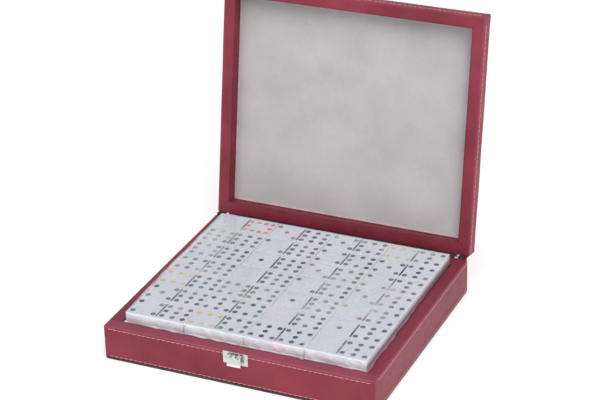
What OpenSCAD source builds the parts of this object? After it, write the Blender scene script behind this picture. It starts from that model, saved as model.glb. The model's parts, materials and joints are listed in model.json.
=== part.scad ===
// Storage case for a set of dominoes. Two shallow halves of board, covered with leatherette and
// lined with velvet, turn on a pair of butt hinges and snap shut with a small metal latch.
// Four stacks of tiles, each shrunk into clear film, stand side by side in the lower half.
// The origin is on the surface the case rests on, under the middle of the lower half.
// +X is right, +Y is towards the hinges and +Z is up.

/* [Tiles] */
// Length of one tile
tile_l = 49.6; // [40:0.1:60]
// Width of one tile
tile_w = 25; // [20:0.5:30]
// Thickness of one tile
tile_t = 10.7; // [9:0.1:12]
// Radius of a tile's edges
tile_r = 0.9; // [0.4:0.1:2]
// Gap between neighbouring tiles
tile_gap = 0.06; // [0.02:0.01:0.2]
// Tiles lying flat on top of each stack
flat_count = 7; // [4:1:8]
// Places for upright tiles left empty in the last stack
empty_places = 1; // [0:1:3]
// Diameter of one pip
pip_d = 3.4; // [2:0.1:4]
// Depth of one pip
pip_depth = 0.5; // [0.2:0.05:0.8]
// Distance from the middle of a half tile to its outer pips, along the tile
pip_reach_x = 8.8; // [7:0.1:9]
// Distance from the middle of a half tile to its outer pips, across the tile
pip_reach_y = 7.3; // [6:0.1:7.5]
// Length of the bar cut between the two halves of a tile
bar_l = 20; // [12:0.5:20]
// Width of the bar
bar_w = 1.1; // [0.6:0.1:2]

/* [Film] */
// Thickness of the film
film_t = 0.1; // [0.05:0.01:0.3]
// Radius of the film's edges
film_r = 0.6; // [0.3:0.05:0.8]
// Space between the tiles and the film
film_fit = 0.02; // [0.01:0.01:0.1]
// Gap between neighbouring stacks
stack_gap = 0.15; // [0.1:0.05:1]
// Play at each side of the row of stacks, left and right
play_x = 2.15; // [1.7:0.05:4]
// How far the row of stacks stands to the right of the middle
row_shift = 1.5; // [0:0.1:1.5]
// Play in front of the stacks and behind them
play_y = 0.5; // [0.2:0.05:2]

/* [Case] */
// Width of the rim round both halves
rim_w = 10.6; // [8:0.1:14]
// Height of the lower half
base_h = 29.7; // [27:0.1:34]
// Thickness of the leatherette cover and of the velvet lining
skin_t = 0.6; // [0.4:0.05:1]
// Radius of the case's covered edges
edge_r = 1.2; // [0.6:0.1:1.3]
// Thickness of the dark sheet under the case
underside_t = 1; // [0.6:0.1:2]
// Distance from the case's sides to the edge of the dark sheet
underside_inset = 0.8; // [0.4:0.1:4]
// Thickness of the floor board
floor_t = 1.2; // [1:0.1:3]
// Thickness of the velvet pad on the floor
pad_t = 0.4; // [0.2:0.1:1]
// How far the cover turns down inside the lower half
turn_in = 6; // [3:0.5:12]

/* [Lid] */
// Angle between the closed lid and the open lid
lid_angle = 99.7; // [90:0.1:115]
// Gap between the two rims when the lid is shut
rim_gap = 0.8; // [0.6:0.1:2]
// Space between the stacks and the lid's lining when the lid is shut
lid_space = 0.3; // [0.2:0.1:3]
// Thickness of the lid's top board
top_board_t = 3.2; // [1.5:0.1:4]
// Thickness of the padded velvet panel in the lid
panel_t = 0.7; // [0.5:0.1:2]
// Space round the velvet panel
panel_space = 0.4; // [0.2:0.1:2]

/* [Hinges] */
// Length of one hinge
hinge_l = 30; // [20:1:50]
// Distance from the case's side to the hinge's outer end
hinge_inset = 10; // [6:0.5:40]
// Distance of the hinge axis behind the back of the case
axis_out = 1.8; // [1.75:0.05:2.5]
// Distance of the hinge axis below the rim of the lower half
axis_drop = 0.8; // [0:0.1:1]
// Radius of the hinge's knuckles
knuckle_r = 1.6; // [1.3:0.05:1.7]
// Radius of the hinge pin
hinge_pin_r = 0.8; // [0.5:0.05:1]
// Thickness of a hinge leaf
leaf_t = 0.8; // [0.5:0.05:1]
// Distance from the closed lid's top to the far edge of the leaf on it
leaf_edge = 2; // [1.5:0.1:3]
// Spacing of the screws in a leaf
screw_step = 10; // [6:0.5:14]

/* [Latch] */
// Width of the latch's back plate
latch_w = 20.5; // [19:0.5:30]
// Height of the latch's back plate
latch_h = 10.2; // [9:0.1:14]
// How far the back plate stands above the rim
latch_rise = 0.3; // [0:0.05:0.35]
// Thickness of the latch's sheet metal
metal_t = 0.6; // [0.4:0.05:0.7]
// Distance of the latch pin in front of the case
latch_out = 2.5; // [2.4:0.05:3.5]
// Distance of the latch pin below the rim
latch_drop = 1.5; // [1.3:0.1:3]
// Radius of the latch's knuckles
latch_knuckle_r = 1.3; // [1.1:0.05:1.4]
// Radius of the latch pin
latch_pin_r = 0.55; // [0.4:0.05:0.6]
// Width of the flap
flap_w = 11.3; // [10.6:0.1:14]
// Length of the flap below its pin
flap_l = 8.6; // [6:0.1:10]
// Height of the lip at the bottom of the flap
flap_lip = 1.8; // [1:0.1:3]
// Outward bend of the flap's lip
flap_lip_angle = 22; // [5:1:40]
// Distance from the middle of the latch to the middle of each prong
prong_x = 2; // [1.8:0.05:2.1]
// Width of one prong
prong_w = 1.4; // [1:0.1:1.5]
// Thickness of one prong
prong_t = 0.4; // [0.3:0.05:0.4]
// Width of the flat spring
spring_w = 1.8; // [1.2:0.1:1.8]
// Width of the keeper plate on the lid
keeper_w = 13; // [12:0.5:20]
// Distance from the closed lid's top to the keeper plate
keeper_edge = 3.1; // [2:0.1:4]

/* [Fixings] */
// Radius of a screw's or nail's shank
shank_r = 0.7; // [0.4:0.05:0.9]
// Length of a hinge screw's shank
screw_l = 7; // [5:0.5:9]
// Radius of a hinge screw's head
screw_head_r = 1.5; // [1.2:0.1:1.8]
// Length of a latch nail's shank
nail_l = 6; // [4:0.5:9]
// Radius of a latch nail's head
nail_head_r = 1.1; // [0.9:0.1:1.4]
// Height of a screw's or nail's head
head_h = 0.6; // [0.3:0.05:1]

/* [Fits] */
// Radial clearance of a pin in the knuckle that turns on it
pin_fit = 0.05; // [0.03:0.01:0.08]
// Gap between the ends of two knuckles
knuckle_gap = 0.2; // [0.1:0.05:0.4]
// Radial clearance of a shank in its hole
shank_fit = 0.03; // [0.01:0.01:0.1]
// Clearance between the latch's moving metal and what it passes
latch_fit = 0.3; // [0.25:0.05:0.35]

/* [Hidden] */
$fn = 48;

leatherette = "#8f3f50";
velvet = "#b8b4b6";
board = "#b08d5e";
dark_sheet = "#2a2226";
nickel = "#d8d8d4";
ivory = "#e6eaee";
clear = [0.92, 0.95, 0.98, 0.3];

// How far a cut reaches past what it cuts, and how much narrower a fixing's head is at its top
over = 1;
head_taper = 0.65;

// One wrapped stack, and the row of them
stack_count = 4;
stack_w = tile_l + 2 * (film_fit + film_t);
flat_step = tile_w + tile_gap;
upright_step = tile_t + tile_gap;
stack_d = flat_count * flat_step - tile_gap + 2 * (film_fit + film_t);
stack_h = tile_w + tile_t + 2 * (film_fit + film_t);
stack_step = stack_w + stack_gap;
upright_count = floor(flat_count * flat_step / upright_step);

// The space inside the lower half and the outside of the case
cavity_w = stack_count * stack_step - stack_gap + 2 * play_x;
cavity_d = stack_d + 2 * play_y;
case_w = cavity_w + 2 * rim_w;
case_d = cavity_d + 2 * rim_w;
board_t = rim_w - 2 * skin_t;
floor_z = underside_t + floor_t;
pad_z = floor_z + pad_t;
stack_top_z = pad_z + stack_h;

// The lid, measured in its shut position
lid_z = base_h + rim_gap;
recess_h = stack_top_z + lid_space - lid_z;
lid_h = recess_h + panel_t + top_board_t + skin_t;
lid_top_z = lid_z + lid_h;
rail_top_z = lid_top_z - skin_t - top_board_t;

// Hinges
axis_y = case_d / 2 + axis_out;
axis_z = base_h - axis_drop;
hinge_x = case_w / 2 - hinge_inset - hinge_l / 2;
knuckle_l = (hinge_l - 2 * knuckle_gap) / 3;
knuckle_step = knuckle_l + knuckle_gap;
leaf_reach = lid_top_z - leaf_edge - axis_z;
screw_reach = (lid_z + rail_top_z) / 2 - axis_z;
pin_head_r = 1.4;
pin_head_l = 0.8;

// Latch
front_y = -case_d / 2;
latch_y = front_y - latch_out;
latch_z = base_h - latch_drop;
plate_face_y = front_y - metal_t;
prong_y = plate_face_y - latch_fit;
centre_knuckle = prong_x - prong_w / 2 - latch_fit;
ear_in = prong_x + prong_w / 2 + latch_fit;
ear_w = 1.2;
ear_foot_h = 1.8;
latch_pin_head_r = 0.9;
latch_pin_head_l = 0.3;
spring_inset = 1;
flap_set = 0.05;
side_knuckle_in = ear_in + ear_w + knuckle_gap / 2;
tongue_t = 0.55;
tongue_gap = 0.25;
tongue_z = latch_z - latch_pin_r - tongue_gap - tongue_t;
tongue_tip_y = prong_y - prong_t - latch_fit;
barb_h = 0.8;
barb_z = tongue_z - latch_fit - barb_h;
barb_tip_y = tongue_tip_y - latch_fit;
latch_nail_x = (latch_w / 2 + flap_w / 2) / 2;
latch_nail_z = base_h + latch_rise - latch_h / 2;
keeper_rise = 0.7;
keeper_z = lid_z + keeper_rise;
keeper_h = lid_h - keeper_rise - keeper_edge;
keeper_nail_edge = 0.6;
keeper_nail_x = keeper_w / 2 - nail_head_r - keeper_nail_edge;
keeper_nail_z = keeper_z + keeper_h / 2;

// Domino numbers: the set runs down from the tens, one suit after another
function suit(i, s = 9, first = 1) =
    i == 0 ? 10 : s < 0 ? -1 : i - first <= s ? s : suit(i, s - 1, first + s + 1);
function suit_start(s, k = 9, first = 1) =
    s == 10 ? 0 : k <= s ? first : suit_start(s, k - 1, first + k + 1);
function low_half(i) = i == 0 ? 0 : suit(i) - (i - suit_start(suit(i)));

// Pips along one row of a half tile, from -1 to 1
function row_of(n) = n <= 0 ? [] : n == 1 ? [0] : [for (k = [0 : n - 1]) -1 + 2 * k / (n - 1)];
function rows_of(n) = n == 10 ? [4, 2, 4] : n >= 6 ? [3, n - 6, 3] : n >= 4 ? [2, n - 4, 2] : [0, n % 2, 0];
function pips_of(n) = concat(
    [for (r = [0 : 2]) for (u = row_of(rows_of(n)[r])) [u, r - 1]],
    n == 2 || n == 3 ? [[-1, 1], [1, -1]] : []);

module rounded_rectangle(a, b, r) {
    square([a - 2 * r, b], center = true);
    square([a, b - 2 * r], center = true);
    for (x = [-1, 1]) for (y = [-1, 1]) translate([x * (a / 2 - r), y * (b / 2 - r)]) circle(r);
}

// A block on z = 0 with all its edges rounded
module rounded_block(a, b, h, r) {
    intersection() {
        linear_extrude(h) rounded_rectangle(a, b, r);
        translate([0, 0, h / 2]) rotate([0, 90, 0])
            linear_extrude(a, center = true) rounded_rectangle(h, b, r);
        translate([0, 0, h / 2]) rotate([90, 0, 0])
            linear_extrude(b, center = true) rounded_rectangle(a, h, r);
    }
}

module block(x0, x1, y0, y1, z0, z1) {
    translate([x0, y0, z0]) cube([x1 - x0, y1 - y0, z1 - z0]);
}

module middle_block(a, b, z0, z1) {
    block(-a / 2, a / 2, -b / 2, b / 2, z0, z1);
}

module rod_x(x0, x1, r) {
    translate([x0, 0, 0]) rotate([0, 90, 0]) cylinder(h = x1 - x0, r = r);
}

module at_hinge_axis() {
    translate([0, axis_y, axis_z]) children();
}

module at_latch_axis() {
    translate([0, latch_y, latch_z]) children();
}

// Carries what is modelled in the lid's shut position to the open position
module opened() {
    at_hinge_axis() rotate([-lid_angle, 0, 0]) translate([0, -axis_y, -axis_z]) children();
}

// A screw or nail along +Z with its head standing on z = 0
module fixing(head_r, shank_l) {
    cylinder(h = head_h, r1 = head_r, r2 = head_r * head_taper);
    translate([0, 0, -shank_l]) cylinder(h = shank_l, r = shank_r);
}

module fixing_hole(shank_l) {
    translate([0, 0, -shank_l - shank_fit]) cylinder(h = shank_l + 2 * head_h, r = shank_r + shank_fit);
}

module at_base_hinge_screws() {
    for (side = [-1, 1]) for (k = [-1, 0, 1])
        translate([side * hinge_x + k * screw_step, case_d / 2 + leaf_t, axis_z - screw_reach])
            rotate([-90, 0, 0]) children();
}

module at_lid_hinge_screws() {
    for (side = [-1, 1]) for (k = [-1, 0, 1])
        translate([side * hinge_x + k * screw_step, case_d / 2 + leaf_t, axis_z + screw_reach])
            rotate([-90, 0, 0]) children();
}

module at_latch_nails() {
    for (side = [-1, 1])
        translate([side * latch_nail_x, plate_face_y, latch_nail_z]) rotate([90, 0, 0]) children();
}

module at_keeper_nails() {
    for (side = [-1, 1])
        translate([side * keeper_nail_x, plate_face_y, keeper_nail_z]) rotate([90, 0, 0]) children();
}

module underside_sheet() {
    color(dark_sheet)
        middle_block(case_w - 2 * underside_inset, case_d - 2 * underside_inset, 0, underside_t);
}

module floor_board() {
    color(board) middle_block(case_w - 2 * skin_t, case_d - 2 * skin_t, underside_t, floor_z);
}

module floor_pad() {
    color(velvet) middle_block(cavity_w, cavity_d, floor_z, pad_z);
}

// Front and back boards run the full width and the side boards stand between them
module long_board(side, z0, z1) {
    y = side * (case_d / 2 - skin_t - board_t / 2);
    translate([0, y, 0]) middle_block(case_w - 2 * skin_t, board_t, z0, z1);
}

module short_board(side, z0, z1) {
    x = side * (case_w / 2 - skin_t - board_t / 2);
    translate([x, 0, 0]) middle_block(board_t, case_d - 2 * skin_t - 2 * board_t, z0, z1);
}

module base_front_board() {
    color(board) difference() {
        long_board(-1, floor_z, base_h - skin_t);
        at_latch_nails() fixing_hole(nail_l);
    }
}

module base_back_board() {
    color(board) difference() {
        long_board(1, floor_z, base_h - skin_t);
        at_base_hinge_screws() fixing_hole(screw_l);
    }
}

module base_left_board() {
    color(board) short_board(-1, floor_z, base_h - skin_t);
}

module base_right_board() {
    color(board) short_board(1, floor_z, base_h - skin_t);
}

// Leatherette over the outside and the rim, turned down inside
module base_cover() {
    color(leatherette) difference() {
        intersection() {
            rounded_block(case_w, case_d, base_h, edge_r);
            middle_block(case_w, case_d, underside_t, base_h);
        }
        middle_block(cavity_w, cavity_d, 0, base_h + over);
        difference() {
            middle_block(case_w - 2 * skin_t, case_d - 2 * skin_t, 0, base_h - skin_t);
            middle_block(cavity_w + 2 * skin_t, cavity_d + 2 * skin_t, base_h - turn_in, base_h);
        }
        at_base_hinge_screws() fixing_hole(screw_l);
        at_latch_nails() fixing_hole(nail_l);
    }
}

module base_wall_lining() {
    color(velvet) difference() {
        middle_block(cavity_w + 2 * skin_t, cavity_d + 2 * skin_t, floor_z, base_h - turn_in);
        middle_block(cavity_w, cavity_d, 0, base_h);
    }
}

module lid_top_board() {
    color(board) opened()
        middle_block(case_w - 2 * skin_t, case_d - 2 * skin_t, rail_top_z, lid_top_z - skin_t);
}

module lid_front_board() {
    color(board) opened() difference() {
        long_board(-1, lid_z + skin_t, rail_top_z);
        at_keeper_nails() fixing_hole(nail_l);
    }
}

module lid_back_board() {
    color(board) opened() difference() {
        long_board(1, lid_z + skin_t, rail_top_z);
        at_lid_hinge_screws() fixing_hole(screw_l);
    }
}

module lid_left_board() {
    color(board) opened() short_board(-1, lid_z + skin_t, rail_top_z);
}

module lid_right_board() {
    color(board) opened() short_board(1, lid_z + skin_t, rail_top_z);
}

// Leatherette over the lid's top, sides and rim, turned in down to the top board
module lid_cover() {
    color(leatherette) opened() difference() {
        translate([0, 0, lid_z]) rounded_block(case_w, case_d, lid_h, edge_r);
        middle_block(cavity_w, cavity_d, lid_z - over, lid_top_z - skin_t);
        difference() {
            middle_block(case_w - 2 * skin_t, case_d - 2 * skin_t, lid_z + skin_t, lid_top_z - skin_t);
            middle_block(cavity_w + 2 * skin_t, cavity_d + 2 * skin_t, lid_z, rail_top_z);
        }
        at_lid_hinge_screws() fixing_hole(screw_l);
        at_keeper_nails() fixing_hole(nail_l);
    }
}

module lid_velvet_panel() {
    color(velvet) opened()
        middle_block(cavity_w - 2 * panel_space, cavity_d - 2 * panel_space,
            rail_top_z - panel_t, rail_top_z);
}

// A leaf in its shut position: up = 1 lies on the lid, up = -1 lies on the lower half.
// The lid's leaf holds the middle knuckle and the lower leaf the outer two.
module hinge_leaf(side, up) {
    mine = up > 0 ? [0] : [-1, 1];
    other = up > 0 ? [-1, 1] : [0];
    z_far = axis_z + up * leaf_reach;
    difference() {
        union() {
            block(side * hinge_x - hinge_l / 2, side * hinge_x + hinge_l / 2,
                case_d / 2, case_d / 2 + leaf_t, min(axis_z, z_far), max(axis_z, z_far));
            at_hinge_axis() for (k = mine) {
                x = side * hinge_x + k * knuckle_step;
                rod_x(x - knuckle_l / 2, x + knuckle_l / 2, knuckle_r);
            }
        }
        for (k = other) {
            x = side * hinge_x + k * knuckle_step;
            half = knuckle_l / 2 + knuckle_gap;
            z_clear = axis_z + up * (knuckle_r + knuckle_gap);
            z_over = axis_z - up * over;
            block(x - half, x + half, case_d / 2 - over, case_d / 2 + leaf_t + over,
                min(z_over, z_clear), max(z_over, z_clear));
        }
        at_hinge_axis() rod_x(side * hinge_x - hinge_l, side * hinge_x + hinge_l, hinge_pin_r + pin_fit);
        if (up > 0) at_lid_hinge_screws() fixing_hole(screw_l);
        else at_base_hinge_screws() fixing_hole(screw_l);
    }
}

module hinge_pin(side) {
    at_hinge_axis() translate([side * hinge_x, 0, 0]) {
        half = hinge_l / 2 + knuckle_gap;
        rod_x(-half, half, hinge_pin_r);
        for (end = [-1, 1]) translate([end * half, 0, 0]) rotate([0, end * 90, 0])
            cylinder(h = pin_head_l, r1 = pin_head_r, r2 = pin_head_r * head_taper);
    }
}

module left_hinge_base_leaf() {
    color(nickel) hinge_leaf(-1, -1);
}

module right_hinge_base_leaf() {
    color(nickel) hinge_leaf(1, -1);
}

module left_hinge_lid_leaf() {
    color(nickel) opened() hinge_leaf(-1, 1);
}

module right_hinge_lid_leaf() {
    color(nickel) opened() hinge_leaf(1, 1);
}

module left_hinge_pin() {
    color(nickel) hinge_pin(-1);
}

module right_hinge_pin() {
    color(nickel) hinge_pin(1);
}

module hinge_base_screws() {
    color(nickel) at_base_hinge_screws() fixing(screw_head_r, screw_l);
}

module hinge_lid_screws() {
    color(nickel) opened() at_lid_hinge_screws() fixing(screw_head_r, screw_l);
}

// Back plate of the latch, with two ears that carry the pin
module latch_plate() {
    top = base_h + latch_rise;
    color(nickel) difference() {
        union() {
            block(-latch_w / 2, latch_w / 2, plate_face_y, front_y, top - latch_h, top);
            for (side = [-1, 1]) {
                x = side * (ear_in + ear_w / 2);
                at_latch_axis() rod_x(x - ear_w / 2, x + ear_w / 2, latch_knuckle_r);
                block(x - ear_w / 2, x + ear_w / 2, latch_y, front_y,
                    latch_z - ear_foot_h / 2, latch_z + ear_foot_h / 2);
            }
        }
        at_latch_axis() rod_x(-flap_w, flap_w, latch_pin_r + pin_fit);
        at_latch_nails() fixing_hole(nail_l);
    }
}

module latch_pin() {
    half = flap_w / 2 + knuckle_gap / 2;
    color(nickel) at_latch_axis() {
        rod_x(-half, half, latch_pin_r);
        rod_x(half, half + latch_pin_head_l, latch_pin_head_r);
        rod_x(-half - latch_pin_head_l, -half, latch_pin_head_r);
    }
}

// Flat spring on the back plate, bearing on the flap's middle knuckle
module latch_spring() {
    strip_t = latch_out - metal_t - latch_knuckle_r - latch_fit;
    color("silver") block(-spring_w / 2, spring_w / 2, plate_face_y - strip_t, plate_face_y,
        base_h + latch_rise - latch_h + spring_inset, latch_z + latch_knuckle_r);
}

module latch_nails() {
    color(nickel) at_latch_nails() fixing(nail_head_r, nail_l);
}

// Sprung flap: a face plate, three knuckles, and a tongue behind it that holds the keeper's barbs
module latch_flap() {
    face_y = latch_y - latch_knuckle_r + flap_set;
    notch = latch_knuckle_r + latch_fit;
    lip_z = latch_z - flap_l + flap_lip;
    tip = [face_y - flap_lip * sin(flap_lip_angle), lip_z - flap_lip * cos(flap_lip_angle)];
    color(nickel) difference() {
        union() {
            translate([-flap_w / 2, 0, 0]) rotate([90, 0, 90]) linear_extrude(flap_w) polygon([
                [face_y, latch_z], [face_y, lip_z], tip,
                [tip[0] + metal_t * cos(flap_lip_angle), tip[1] - metal_t * sin(flap_lip_angle)],
                [face_y + metal_t, lip_z - metal_t * tan(flap_lip_angle / 2)], [face_y + metal_t, latch_z]
            ]);
            at_latch_axis() {
                rod_x(-centre_knuckle, centre_knuckle, latch_knuckle_r);
                rod_x(side_knuckle_in, flap_w / 2, latch_knuckle_r);
                rod_x(-flap_w / 2, -side_knuckle_in, latch_knuckle_r);
            }
            for (side = [-1, 1]) {
                x = side * prong_x;
                block(x - prong_w / 2, x + prong_w / 2, face_y, tongue_tip_y,
                    tongue_z, tongue_z + tongue_t);
            }
        }
        for (side = [-1, 1]) {
            x = side * (ear_in + ear_w / 2);
            half = ear_w / 2 + knuckle_gap / 2;
            block(x - half, x + half, face_y - over, latch_y, latch_z - notch, latch_z + notch);
            slot = side * prong_x;
            slot_half = prong_w / 2 + latch_fit;
            block(slot - slot_half, slot + slot_half, face_y - over, latch_y,
                tongue_z + tongue_t, latch_z + notch);
        }
        at_latch_axis() rod_x(-flap_w, flap_w, latch_pin_r + pin_fit);
    }
}

// Keeper on the lid: a plate with two barbed prongs that reach down behind the flap
module keeper() {
    step_z = keeper_z + metal_t;
    color(nickel) opened() difference() {
        union() {
            block(-keeper_w / 2, keeper_w / 2, plate_face_y, front_y, keeper_z, keeper_z + keeper_h);
            for (side = [-1, 1]) {
                x = side * prong_x;
                block(x - prong_w / 2, x + prong_w / 2, prong_y - prong_t, front_y, keeper_z, step_z);
                block(x - prong_w / 2, x + prong_w / 2, prong_y - prong_t, prong_y, barb_z, step_z);
                block(x - prong_w / 2, x + prong_w / 2, barb_tip_y, prong_y, barb_z, barb_z + barb_h);
            }
        }
        at_keeper_nails() fixing_hole(nail_l);
    }
}

module keeper_nails() {
    color(nickel) opened() at_keeper_nails() fixing(nail_head_r, nail_l);
}

// Carries a stack's own frame, with z = 0 under its film, to its place in the lower half
module at_stack(n) {
    translate([row_shift + (n - (stack_count + 1) / 2) * stack_step, 0, pad_z]) children();
}

// One half tile's pips, cut with a round-nosed cutter
module half_tile_pips(n) {
    cutter_r = (pip_d * pip_d / 4 + pip_depth * pip_depth) / (2 * pip_depth);
    for (p = pips_of(n))
        translate([p[0] * pip_reach_x, p[1] * pip_reach_y, tile_t + cutter_r - pip_depth])
            sphere(r = cutter_r);
}

// A flat tile with its numbers up: low half on the left, suit on the right
module flat_tile(low, high) {
    difference() {
        rounded_block(tile_l, tile_w, tile_t, tile_r);
        translate([-tile_l / 4, 0, 0]) half_tile_pips(low);
        translate([tile_l / 4, 0, 0]) half_tile_pips(high);
        middle_block(bar_w, bar_l, tile_t - pip_depth, tile_t + over);
    }
}

module top_tiles(n) {
    color(ivory) at_stack(n) for (row = [0 : flat_count - 1]) {
        i = (n - 1) * flat_count + row;
        y = (flat_count - 1) / 2 - row;
        translate([0, y * flat_step, film_t + film_fit + tile_w]) flat_tile(low_half(i), suit(i));
    }
}

// Upright tiles under the flat ones, face to face, with the last places of the last stack empty
module lower_tiles(n) {
    count = upright_count - (n == stack_count ? empty_places : 0);
    color(ivory) at_stack(n) for (k = [0 : count - 1])
        translate([0, (k - (upright_count - 1) / 2) * upright_step, film_t + film_fit])
            translate([0, tile_t / 2, 0]) rotate([90, 0, 0])
                translate([0, tile_w / 2, 0]) rounded_block(tile_l, tile_w, tile_t, tile_r);
}

module film(n) {
    color(clear) at_stack(n) difference() {
        rounded_block(stack_w, stack_d, stack_h, film_r);
        translate([0, 0, film_t])
            rounded_block(stack_w - 2 * film_t, stack_d - 2 * film_t, stack_h - 2 * film_t, film_r - film_t);
    }
}

module stack_1_top_tiles() { top_tiles(1); }
module stack_2_top_tiles() { top_tiles(2); }
module stack_3_top_tiles() { top_tiles(3); }
module stack_4_top_tiles() { top_tiles(4); }
module stack_1_lower_tiles() { lower_tiles(1); }
module stack_2_lower_tiles() { lower_tiles(2); }
module stack_3_lower_tiles() { lower_tiles(3); }
module stack_4_lower_tiles() { lower_tiles(4); }
module stack_1_film() { film(1); }
module stack_2_film() { film(2); }
module stack_3_film() { film(3); }
module stack_4_film() { film(4); }

underside_sheet();
floor_board();
floor_pad();
base_front_board();
base_back_board();
base_left_board();
base_right_board();
base_cover();
base_wall_lining();
lid_top_board();
lid_front_board();
lid_back_board();
lid_left_board();
lid_right_board();
lid_cover();
lid_velvet_panel();
left_hinge_base_leaf();
left_hinge_lid_leaf();
left_hinge_pin();
right_hinge_base_leaf();
right_hinge_lid_leaf();
right_hinge_pin();
hinge_base_screws();
hinge_lid_screws();
latch_plate();
latch_flap();
latch_pin();
latch_spring();
latch_nails();
keeper();
keeper_nails();
stack_1_top_tiles();
stack_1_lower_tiles();
stack_1_film();
stack_2_top_tiles();
stack_2_lower_tiles();
stack_2_film();
stack_3_top_tiles();
stack_3_lower_tiles();
stack_3_film();
stack_4_top_tiles();
stack_4_lower_tiles();
stack_4_film();
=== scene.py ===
import json
import math

import bmesh
import bpy
import numpy as np
from mathutils import Matrix, Vector
from mathutils.geometry import delaunay_2d_cdt


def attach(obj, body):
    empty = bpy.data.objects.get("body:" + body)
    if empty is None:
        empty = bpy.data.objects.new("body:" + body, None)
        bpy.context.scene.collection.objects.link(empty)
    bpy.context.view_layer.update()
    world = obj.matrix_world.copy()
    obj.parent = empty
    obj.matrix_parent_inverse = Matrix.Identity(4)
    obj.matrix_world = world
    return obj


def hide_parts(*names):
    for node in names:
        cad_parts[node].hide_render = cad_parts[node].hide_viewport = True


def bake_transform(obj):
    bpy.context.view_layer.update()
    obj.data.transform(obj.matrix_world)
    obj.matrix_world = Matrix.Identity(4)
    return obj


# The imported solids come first, with their size before anything is dressed.
# The camera stands where the photographer stood, in front of the case, to its right and above it.
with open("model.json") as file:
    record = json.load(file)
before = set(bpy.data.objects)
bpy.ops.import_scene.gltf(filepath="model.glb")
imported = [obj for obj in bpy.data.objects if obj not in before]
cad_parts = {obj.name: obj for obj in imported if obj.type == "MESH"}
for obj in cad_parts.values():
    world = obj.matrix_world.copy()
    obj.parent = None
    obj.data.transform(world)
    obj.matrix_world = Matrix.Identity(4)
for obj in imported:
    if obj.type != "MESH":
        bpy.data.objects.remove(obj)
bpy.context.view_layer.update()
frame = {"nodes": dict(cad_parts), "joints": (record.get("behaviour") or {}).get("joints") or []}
view_place = (0.6107, -1.2966, 0.8422)
view_yaw, view_tip, view_roll = 24.80, 62.95, -1.85
view_lens = 125.66
camera = bpy.data.objects.new("camera", bpy.data.cameras.new("camera"))
camera.data.sensor_width = 36
camera.data.lens = view_lens
camera.matrix_world = (
    Matrix.Translation(view_place)
    @ Matrix.Rotation(math.radians(view_yaw), 4, "Z")
    @ Matrix.Rotation(math.radians(view_tip), 4, "X")
    @ Matrix.Rotation(math.radians(view_roll), 4, "Z")
)
bpy.context.scene.collection.objects.link(camera)
bpy.context.scene.camera = camera


# The boards are bare grey-brown fibreboard, 9 mm round the sides and thinner in the floor and the lid's top.
# They are sawn, glued up and then hidden by the covers, so they keep the shape of their solids.
def new_finish(name):
    """A named material and its surface shader."""
    finish = bpy.data.materials.new(name)
    finish.use_nodes = True
    return finish, finish.node_tree.nodes["Principled BSDF"]


def wire(finish, kind, wired, **settings):
    """A shader node with its settings, whose sockets take values or other nodes' sockets."""
    made = finish.node_tree.nodes.new("ShaderNode" + kind)
    for name, value in settings.items():
        setattr(made, name, value)
    for socket, source in wired.items():
        if isinstance(source, bpy.types.NodeSocket):
            finish.node_tree.links.new(source, made.inputs[socket])
        else:
            made.inputs[socket].default_value = source
    return made


def lead(finish, shader, socket, source):
    """Leads a socket of another node into one of the surface shader's."""
    finish.node_tree.links.new(source, shader.inputs[socket])


def grain_at(finish, scale, detail=3.0, stretch=(1, 1, 1)):
    """Noise fixed to the piece, scale lumps to the metre."""
    place = wire(finish, "TexCoord", {}).outputs["Object"]
    place = wire(finish, "Mapping", {"Vector": place, "Scale": stretch}).outputs["Vector"]
    return wire(finish, "TexNoise", {"Vector": place, "Scale": scale, "Detail": detail}).outputs["Fac"]


def blended(finish, share, low, high, dark, pale):
    """A colour that runs from dark to pale as share runs from low to high."""
    ramp = wire(finish, "ValToRGB", {"Fac": share})
    dark_end, pale_end = ramp.color_ramp.elements
    dark_end.position, dark_end.color = low, (*dark, 1)
    pale_end.position, pale_end.color = high, (*pale, 1)
    return ramp.outputs["Color"]


def level(finish, share, low, high, start=0.3, stop=0.7):
    """A number that runs from low to high as share runs from start to stop."""
    wired = {"Value": share, "From Min": start, "From Max": stop, "To Min": low, "To Max": high}
    return wire(finish, "MapRange", wired).outputs["Result"]


def relief(finish, height, depth, under=None):
    """A bump of that depth in metres, on top of a coarser one if there is one."""
    wired = {"Height": height, "Distance": depth, "Strength": 1.0}
    if under is not None:
        wired["Normal"] = under
    return wire(finish, "Bump", wired).outputs["Normal"]


def mottled(name, scale, detail, dark, pale, low=0.3, depth=0.0, stretch=(1, 1, 1)):
    """A finish whose colour and relief follow one noise, with its shader and that noise."""
    finish, shader = new_finish(name)
    noise = grain_at(finish, scale, detail, stretch)
    lead(finish, shader, "Base Color", blended(finish, noise, low, 0.7, dark, pale))
    if depth:
        lead(finish, shader, "Normal", relief(finish, noise, depth))
    return finish, shader, noise


def dress(finish, *names):
    """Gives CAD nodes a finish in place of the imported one."""
    for name in names:
        for slot in frame["nodes"][name].material_slots:
            slot.material = finish


fibreboard, shader, _ = mottled(
    "fibreboard", 900, 6, (0.24, 0.16, 0.09), (0.46, 0.34, 0.21), low=0.35, depth=0.0002
)
shader.inputs["Roughness"].default_value = 0.85
dress(
    fibreboard,
    "floor_board",
    "base_front_board",
    "base_back_board",
    "base_left_board",
    "base_right_board",
    "lid_top_board",
    "lid_front_board",
    "lid_back_board",
    "lid_left_board",
    "lid_right_board",
)

# The underside is one sheet of thin black felt glued to the floor board, a little smaller than the case.
# Its cut edge shows as a dark line under the front.
black_felt, shader, _ = mottled(
    "black_felt", 2500, 4, (0.012, 0.009, 0.010), (0.045, 0.034, 0.036), depth=0.0003
)
shader.inputs["Roughness"].default_value = 0.95
shader.inputs["Sheen Weight"].default_value = 0.2
dress(black_felt, "underside_sheet")

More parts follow.
